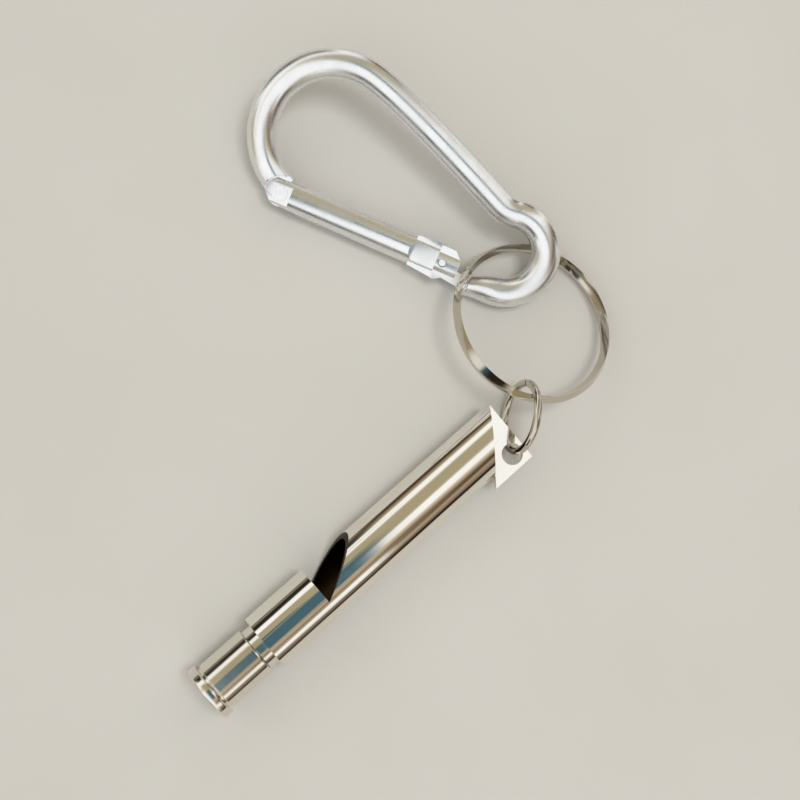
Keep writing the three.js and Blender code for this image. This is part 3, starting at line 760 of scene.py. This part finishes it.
makeFrame(carabiner, gate)


# The gate's outline from the side: heel, underside, flange, tip and lip
def gateOutline(size):
    radius = size["diameter"] / 2
    length = size["length"]
    lip = radius + size["lipReach"]
    lipStart = length - size["lipLength"]
    tip = radius - size["tipDepth"]
    tipStart = length - size["tipLength"]
    return arc((0, 0), radius, 90, size["pivotHeel"], size["heelSteps"]) + [
        size["pivotCorner"], (size["pivotTaper"], -radius), (lipStart, -radius),
        (length - size["collarFlat"], -radius - size["flangeReach"]), (tipStart, -tip),
        (length, -tip), (length, lip - 2 * size["tipDepth"]), (tipStart, lip),
        (lipStart + 2 * size["lipReach"], lip), (lipStart, radius),
    ]


# A round-ended pocket behind the collar
def pocketOutline(size):
    half = size["pocketWidth"] / 2
    end = size["length"] - size["collarLength"]
    start = end - size["pocketLength"]
    return arc((start + half, 0), half, 90, 270, size["pocketSteps"]) + [(end, -half), (end, half)]


def makeGate(size):
    wide = size["diameter"]
    far = 4 * wide
    length = size["length"]
    face = size["cheekFace"]
    rod = rodAlongX(wide, -wide, length, size["sides"])
    # the lip and the collar stand out from the rod's end
    lipStart = length - size["lipLength"]
    lipHalf = size["slot"] / 2 + size["lipThickness"]
    combine(rod, "UNION", block(lipStart, -wide, -lipHalf, length, wide, lipHalf))
    collarStart = length - size["collarLength"]
    collarEnd = length + size["collarOverrun"]
    combine(rod, "UNION", block(collarStart, -wide, -face, collarEnd, wide, face))
    combine(rod, "INTERSECT", plate(gateOutline(size), far))
    # flats on the cheeks at the rivet, and the pocket, on both sides
    for low, high in ((face, far), (-far, -face)):
        combine(rod, "DIFFERENCE", block(-far, -far, low, size["pivotFlat"], far, high))
        pocket = plate(pocketOutline(size), 2 * far)
        combine(pocket, "INTERSECT", block(0, -far, low, 2 * length, far, high))
        combine(rod, "DIFFERENCE", pocket)
    # slots for the frame's eye and tongue, then the bores
    slot = size["slot"] / 2
    combine(rod, "DIFFERENCE", block(-far, -far, -slot, size["pivotSlotEnd"], far, slot))
    combine(rod, "DIFFERENCE", block(size["noseSlotStart"], -far, -slot, 2 * length, far, slot))
    combine(rod, "DIFFERENCE", rodAlongX(size["springBore"], 0, size["springSeat"], size["holeSides"]))
    combine(rod, "DIFFERENCE", rodAlongZ(size["rivetHole"], 0, 0, far, size["holeSides"]))
    combine(rod, "DIFFERENCE", rodAlongZ(size["pinHole"], size["pinAlong"], 0, far, size["holeSides"]))
    softenEdges(rod, size["edge"], angle=40)
    finished(
        rod, "carabinerGate", carabinerPlace, "gate",
        "carabiner_gate", tumbledAluminium, smoothAngle=35,
    )


makeGate(gate)


# Rivet that the gate turns on, with nearly flush heads
rivet = {"diameter": 1.6, "head": 2.6, "seat": 2.01, "headHeight": 0.05, "rounding": 0.04, "steps": 64}
standing = Matrix.Rotation(math.radians(-90), 4, "Y")  # a piece turned about X, stood along Z


def makeRivet(size):
    shank, head = size["diameter"] / 2, size["head"] / 2
    seat = size["seat"]
    top = seat + size["headHeight"]
    piece = turned(rounded([
        (-top, 0, 0), (-top, head, size["rounding"]), (-seat, head, 0), (-seat, shank, 0),
        (seat, shank, 0), (seat, head, 0), (top, head, size["rounding"]), (top, 0, 0),
    ]), size["steps"])
    finished(
        piece, "gatePivotRivet", carabinerPlace @ standing, "carabiner",
        "gate_pivot_rivet", drawnSteel,
    )


makeRivet(rivet)


# Latch pin across the gate's slotted tip
latchPin = {"diameter": 1.3, "half": 1.97, "rounding": 0.12, "steps": 64}


def makeLatchPin(size):
    end, radius = size["half"], size["diameter"] / 2
    piece = turned(rounded([
        (-end, 0, 0), (-end, radius, size["rounding"]), (end, radius, size["rounding"]), (end, 0, 0),
    ]), size["steps"])
    place = carabinerPlace @ Matrix.Translation((gate["pinAlong"] * mm, 0, 0)) @ standing
    finished(piece, "gateLatchPin", place, "gate", "gate_latch_pin", drawnSteel)


makeLatchPin(latchPin)


# Plunger that slides in the gate's bore and presses on the flat of the frame's eye
plunger = {
    "diameter": 2.4, "tip": 2.0, "start": 2.2, "shoulder": 3.55, "end": 6.3,
    "rounding": 0.12, "tipRounding": 0.24, "steps": 64,
}


def makePlunger(size):
    tip, body = size["tip"] / 2, size["diameter"] / 2
    piece = turned(rounded([
        (size["start"], 0, 0), (size["start"], tip, size["tipRounding"]),
        (size["shoulder"], tip, 0), (size["shoulder"], body, size["rounding"]),
        (size["end"], body, size["rounding"]), (size["end"], 0, 0),
    ]), size["steps"])
    finished(
        piece, "gateSpringPlunger", carabinerPlace, "plunger",
        "gate_spring_plunger", drawnSteel,
    )


makePlunger(plunger)


# Coil spring between the plunger and the end of the gate's bore
spring = {
    "outside": 2.4, "wire": 0.35, "start": 6.625, "run": 6.55, "turns": 8, "stepsPerTurn": 36, "sides": 12,
}


def makeSpring(size):
    coil = (size["outside"] - size["wire"]) / 2
    steps = size["turns"] * size["stepsPerTurn"]
    helix = []
    for step in range(steps + 1):
        angle = 2 * math.pi * step / size["stepsPerTurn"]
        along = size["start"] + size["run"] * step / steps
        helix.append((along, coil * math.cos(angle), coil * math.sin(angle)))
    piece = wire(helix, diameter=size["wire"], sides=size["sides"])
    finished(piece, "gateSpring", carabinerPlace, "gate", "gate_spring", musicWire)


makeSpring(spring)


# Camera at the photograph's viewpoint, standing in millimetres and seeing between two distances in metres
viewpoint = {
    "stand": (-29.036, -13.888, 175.543),
    "right": (0.74057, -0.65192, 0.16299),
    "up": (0.64029, 0.75818, 0.12327),
    "focalPixels": 1073.47,
    "imagePixels": 800,
    "sensor": 36.0,
    "sees": (0.01, 20),
}


def addCamera(view):
    right = Vector(view["right"]).normalized()
    back = right.cross(Vector(view["up"])).normalized()
    turn = Matrix((right, back.cross(right), back)).transposed().to_4x4()
    data = bpy.data.cameras.new("camera")
    data.sensor_width = view["sensor"]
    data.lens = view["sensor"] * view["focalPixels"] / view["imagePixels"]
    data.clip_start, data.clip_end = view["sees"]
    camera = bpy.data.objects.new("camera", data)
    camera.matrix_world = Matrix.Translation(Vector(view["stand"]) * mm) @ turn
    bpy.context.scene.collection.objects.link(camera)
    bpy.context.scene.camera = camera


addCamera(viewpoint)
bpy.context.scene.view_settings.view_transform = "Standard"
print("camera placed")


# Floor of pale paper with no sheen: an even, faintly mottled grey that lets the metal stand out
floorLook = {"size": 4, "colour": "CECCC7", "mottle": "C6C4BE", "patch": 40, "roughness": 0.8}


def addFloor(look):
    clearSelection()
    bpy.ops.mesh.primitive_plane_add(size=look["size"])
    floor = bpy.context.active_object
    floor.name = "floor"
    material, tree, shader = newMaterial("palePaper")
    place = addNode(tree, "ShaderNodeTexCoord")
    mottle = addNode(
        tree, "ShaderNodeTexNoise", {"Scale": 1 / (look["patch"] * mm), "Detail": 3.0},
        {"Vector": place.outputs["Object"]},
    )
    tint = addNode(
        tree, "ShaderNodeMix",
        {"data_type": "RGBA", mixFirst: hexColour(look["colour"]), mixSecond: hexColour(look["mottle"])},
        {mixShare: mottle.outputs["Fac"]},
    )
    tree.links.new(tint.outputs[mixResult], shader.inputs["Base Color"])
    shader.inputs["Roughness"].default_value = look["roughness"]
    floor.data.materials.append(material)


addFloor(floorLook)
print("floor laid")


# Studio light: white screens with gaps between them, running along the whistle, and panels round the walls
studio = {
    "colours": {
        "white": "FFFFFF", "cream": "DDD3BE", "beige": "ABA184", "tan": "B3A48C", "brown": "7A6754",
        "slate": "476673", "grey": "8E8B80", "dark": "2E261E",
    },
    # angle from straight up towards +Y, and what is seen there
    "overhead": [
        (-180, "grey"), (-86, "dark"), (-80, "dark"), (-74, "brown"), (-64, "tan"), (-52, "brown"),
        (-46, "dark"), (-41, "brown"), (-32, "tan"), (-25, "cream"), (-20, "white"), (-3, "white"),
        (3, "beige"), (39, "beige"), (48, "white"), (60, "white"), (66, "beige"), (76, "brown"),
        (82, "dark"), (92, "brown"), (180, "grey"),
    ],
    # the same for the side of the room that the mouthpiece shows
    "nearMouth": [
        (-180, "grey"), (-86, "dark"), (-78, "brown"), (-68, "grey"), (-62, "white"), (-54, "white"),
        (-48, "tan"), (-42, "brown"), (-36, "tan"), (-26, "tan"), (-21, "slate"), (12, "slate"),
        (18, "beige"), (40, "beige"), (48, "white"), (60, "white"), (64, "dark"), (78, "dark"),
        (84, "grey"), (90, "dark"), (180, "grey"),
    ],
    # and for the side of the room that the carabiner shows
    "farSide": [
        (-180, "grey"), (-84, "grey"), (-70, "cream"), (-55, "white"), (20, "white"), (30, "cream"),
        (42, "white"), (62, "white"), (72, "grey"), (84, "dark"), (92, "grey"), (180, "grey"),
    ],
    # panels and doorways round the walls, by the angle from +X towards +Y, that the rings and rims show
    "walls": [
        (-180, "white"), (-176, "slate"), (-168, "dark"), (-150, "dark"), (-142, "cream"), (-128, "white"),
        (-114, "beige"), (-98, "dark"), (-80, "white"), (-66, "dark"), (-52, "grey"), (-46, "white"),
        (-30, "dark"), (-16, "dark"), (-10, "cream"), (4, "white"), (14, "dark"), (26, "brown"),
        (34, "white"), (48, "white"), (58, "dark"), (70, "grey"), (84, "dark"), (100, "dark"),
        (108, "white"), (118, "white"), (128, "beige"), (146, "beige"), (156, "tan"), (166, "white"),
    ],
    # where one set of bands gives way to the next, as parts of the unit direction
    "mouthFrom": (0.12, 0.08), "farFrom": (-0.11, -0.16),
    "wallFrom": (0.3, 0.42), "wallTop": (0.44, 0.32),
    "strength": 1.08,
}


def addRoom(look):
    world = bpy.data.worlds.new("studio")
    bpy.context.scene.world = world
    world.use_nodes = True
    tree = world.node_tree
    way = addNode(tree, "ShaderNodeTexCoord")
    parts = addNode(tree, "ShaderNodeSeparateXYZ", {}, {0: way.outputs["Generated"]})

    # the angle of the view direction, as a share of a whole turn
    def turnAbout(rise, run):
        angle = addNode(
            tree, "ShaderNodeMath", {"operation": "ARCTAN2"},
            {0: parts.outputs[rise], 1: parts.outputs[run]},
        )
        share = addNode(
            tree, "ShaderNodeMapRange", {"From Min": -math.pi, "From Max": math.pi},
            {"Value": angle.outputs[0]},
        )
        return share.outputs["Result"]

    def bands(stops, turn):
        ramp = addNode(tree, "ShaderNodeValToRGB", {}, {0: turn})
        marks = ramp.color_ramp.elements
        marks.remove(marks[-1])
        for index, (degrees, name) in enumerate(stops):
            place = (degrees + 180) / 360
            mark = marks[0] if index == 0 else marks.new(place)
            mark.position = place
            mark.color = hexColour(look["colours"][name])
        return ramp.outputs["Color"]

    def beyond(value, limits):
        mask = addNode(
            tree, "ShaderNodeMapRange",
            {"interpolation_type": "SMOOTHSTEP", "From Min": limits[0], "From Max": limits[1]},
            {"Value": value},
        )
        return mask.outputs["Result"]

    def mixed(mask, first, second):
        mix = addNode(
            tree, "ShaderNodeMix", {"data_type": "RGBA"},
            {mixShare: mask, mixFirst: first, mixSecond: second},
        )
        return mix.outputs[mixResult]

    overhead = turnAbout("Y", "Z")
    sideways = addNode(tree, "ShaderNodeMath", {"operation": "ABSOLUTE"}, {0: parts.outputs["X"]})
    onWall = addNode(
        tree, "ShaderNodeMath", {"operation": "MULTIPLY"},
        {0: beyond(sideways.outputs[0], look["wallFrom"]), 1: beyond(parts.outputs["Z"], look["wallTop"])},
    )
    room = bands(look["overhead"], overhead)
    room = mixed(beyond(parts.outputs["X"], look["mouthFrom"]), room, bands(look["nearMouth"], overhead))
    room = mixed(beyond(parts.outputs["X"], look["farFrom"]), room, bands(look["farSide"], overhead))
    room = mixed(onWall.outputs[0], room, bands(look["walls"], turnAbout("Y", "X")))
    back = tree.nodes["Background"]
    tree.links.new(room, back.inputs["Color"])
    back.inputs["Strength"].default_value = look["strength"]


addRoom(studio)
print("room lit")


# Soft lamp above, in metres
lampLook = {"place": (0.1, -0.1, 0.9), "size": 0.3, "energy": 3.0}


def addLamp(look):
    clearSelection()
    bpy.ops.object.light_add(type="AREA", location=look["place"])
    lamp = bpy.context.active_object
    lamp.name = "softbox"
    lamp.data.energy = look["energy"]
    lamp.data.size = look["size"]
    lamp.visible_glossy = False  # it lights the floor; the bright metal mirrors the room alone
    lamp.rotation_euler = (-Vector(look["place"])).to_track_quat("-Z", "Y").to_euler()


addLamp(lampLook)
print("lamp hung")
